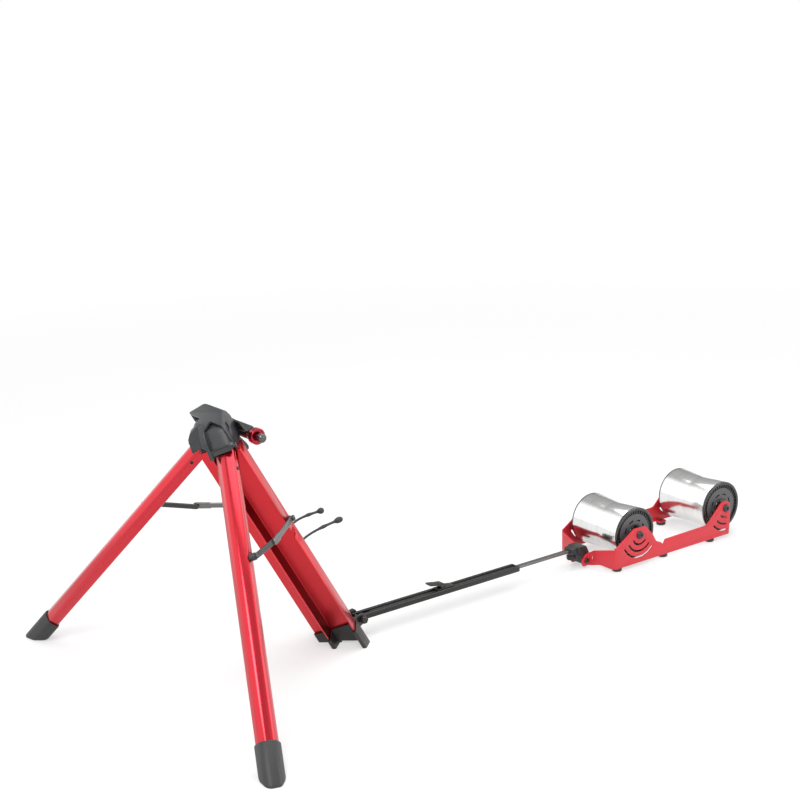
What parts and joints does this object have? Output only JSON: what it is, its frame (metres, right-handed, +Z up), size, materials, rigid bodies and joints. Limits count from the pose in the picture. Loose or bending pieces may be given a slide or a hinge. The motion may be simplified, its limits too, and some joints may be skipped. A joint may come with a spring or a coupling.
{
  "type": "fork mount roller trainer",
  "caption": "Folding bicycle trainer: a red tripod whose crown clamps the fork ends, with a slotted beam to a low frame with polished drums for the rear wheel.",
  "frame": {"origin": "centre of the overall box on the floor", "axes": "+X from the tripod to the rollers, +Y to the rider's right, +Z up"},
  "size_m": [1.4245, 0.8316, 0.4956],
  "materials": {
    "red_anodised": "brushed and red anodised",
    "moulding": "black glass-filled moulding, fine grain",
    "rubber": "matte black rubber",
    "black_coated": "satin black coating",
    "black_anodised": "satin black anodised",
    "grey_anodised": "grey anodised",
    "steel": "plated",
    "drum_metal": "turned and polished",
    "red_sheet": "satin red paint",
    "drum_cap": "gloss black moulding"
  },
  "bodies": {
    "tripod": {"head_crown": "moulding", "rear_leg": "red_anodised", "rear_foot": "moulding", "leg_pivot_pin_left": "steel", "leg_pivot_pin_right": "steel", "strut_anchor_left": "black_coated", "strut_anchor_right": "black_coated", "hold_down_pull_upper": "rubber", "hold_down_pull_lower": "rubber", "axle_carrier": "black_coated", "axle_tube": "black_coated", "axle_cap_left": "red_anodised", "axle_cap_right": "red_anodised", "carrier_screw_left": "steel", "carrier_screw_right": "steel", "skewer": "steel", "beam_hinge_bracket": "black_coated", "beam_hinge_pin": "steel", "beam_hinge_knob": "moulding"},
    "front_leg_left": {"front_leg_left": "red_anodised", "leg_boot_left": "rubber", "leg_plug_left": "moulding", "strut_knuckle_left": "moulding"},
    "strut_upper_left": {"strut_upper_left": "grey_anodised"},
    "strut_lower_left": {"strut_lower_left": "grey_anodised"},
    "front_leg_right": {"front_leg_right": "red_anodised", "leg_boot_right": "rubber", "leg_plug_right": "moulding", "strut_knuckle_right": "moulding"},
    "strut_upper_right": {"strut_upper_right": "grey_anodised"},
    "strut_lower_right": {"strut_lower_right": "grey_anodised"},
    "skewer_lever": {"skewer_lever": "black_coated"},
    "beam": {"beam_rail": "black_anodised", "rail_guide": "moulding", "lever_saddle": "moulding", "lever_stud": "steel"},
    "beam_lever": {"beam_lever": "moulding"},
    "beam_slide": {"slide_bar": "grey_anodised", "bar_end_clamp": "moulding"},
    "clamp_knob": {"clamp_knob": "moulding"},
    "roller_frame": {"side_plate_left": "red_sheet", "side_plate_right": "red_sheet", "roller_pad_front_left": "rubber", "roller_pad_front_right": "rubber", "roller_pad_middle_left": "rubber", "roller_pad_middle_right": "rubber", "roller_pad_rear_left": "rubber", "roller_pad_rear_right": "rubber", "clevis_bolt": "black_coated", "drum_axle_front": "black_coated", "drum_axle_rear": "black_coated"},
    "drum_front": {"drum_shell_front": "drum_metal", "drum_cap_front_left": "drum_cap", "drum_cap_front_right": "drum_cap"},
    "drum_rear": {"drum_shell_rear": "drum_metal", "drum_cap_rear_left": "drum_cap", "drum_cap_rear_right": "drum_cap"}
  },
  "joints": [
    {"name": "leg_fold_right", "type": "hinge", "parent": "tripod", "child": "front_leg_right", "pos_m": [-0.52378, 0.0314, 0.42835], "axis": [-0.6124, -0.7071, -0.3536], "range_deg": [0, 61]},
    {"name": "strut_lower_turn_right", "type": "hinge", "parent": "tripod", "child": "strut_lower_right", "pos_m": [-0.40684, 0.04914, 0.28109], "axis": [-0.6124, -0.7071, -0.3536], "range_deg": [0, 106]},
    {"name": "strut_upper_turn_right", "type": "hinge", "parent": "front_leg_right", "child": "strut_upper_right", "pos_m": [-0.56731, 0.18019, 0.28677], "axis": [-0.6124, -0.7071, -0.3536], "range_deg": [-127, 0]},
    {"name": "leg_fold_left", "type": "hinge", "parent": "tripod", "child": "front_leg_left", "pos_m": [-0.52378, -0.0314, 0.42835], "axis": [0.6124, -0.7071, 0.3536], "range_deg": [0, 61]},
    {"name": "strut_lower_turn_left", "type": "hinge", "parent": "tripod", "child": "strut_lower_left", "pos_m": [-0.40684, -0.04914, 0.28109], "axis": [0.6124, -0.7071, 0.3536], "range_deg": [0, 106]},
    {"name": "strut_upper_turn_left", "type": "hinge", "parent": "front_leg_left", "child": "strut_upper_left", "pos_m": [-0.56731, -0.18019, 0.28677], "axis": [0.6124, -0.7071, 0.3536], "range_deg": [-127, 0]},
    {"name": "skewer_lever_turn", "type": "hinge", "parent": "tripod", "child": "skewer_lever", "pos_m": [-0.46767, 0.066, 0.4425], "axis": [0.7431, 0, 0.6691], "range_deg": [0, 100]},
    {"name": "beam_fold", "type": "hinge", "parent": "tripod", "child": "beam", "pos_m": [-0.2377, 0, 0.0378], "axis": [0, -1, 0], "range_deg": [0, 110]},
    {"name": "beam_slide", "type": "slide", "parent": "beam", "child": "beam_slide", "axis": [1, 0, 0], "range_m": [-0.02, 0.1]},
    {"name": "beam_lever_turn", "type": "hinge", "parent": "beam", "child": "beam_lever", "pos_m": [-0.0397, 0, 0.05025], "axis": [0, 1, 0], "range_deg": [0, 95]},
    {"name": "clamp_knob_turn", "type": "hinge", "parent": "beam_slide", "child": "clamp_knob", "pos_m": [0.2968, 0, 0.0304], "axis": [0, 0, 1], "range_deg": [-180, 180]},
    {"name": "frame_fold", "type": "hinge", "parent": "beam_slide", "child": "roller_frame", "pos_m": [0.3223, 0, 0.0146], "axis": [0, 1, 0], "range_deg": [-20, 170]},
    {"name": "drum_front_spin", "type": "hinge", "parent": "roller_frame", "child": "drum_front", "pos_m": [0.411, 0, 0.065], "axis": [0, 1, 0], "continuous": true},
    {"name": "drum_rear_spin", "type": "hinge", "parent": "roller_frame", "child": "drum_rear", "pos_m": [0.6598, 0, 0.065], "axis": [0, 1, 0], "continuous": true}
  ],
  "couplings": [
    {"joint": "strut_lower_turn_right", "follows": "leg_fold_right", "ratio": 1.7316},
    {"joint": "strut_upper_turn_right", "follows": "leg_fold_right", "ratio": -2.0726},
    {"joint": "strut_lower_turn_left", "follows": "leg_fold_left", "ratio": 1.7316},
    {"joint": "strut_upper_turn_left", "follows": "leg_fold_left", "ratio": -2.0726}
  ]
}
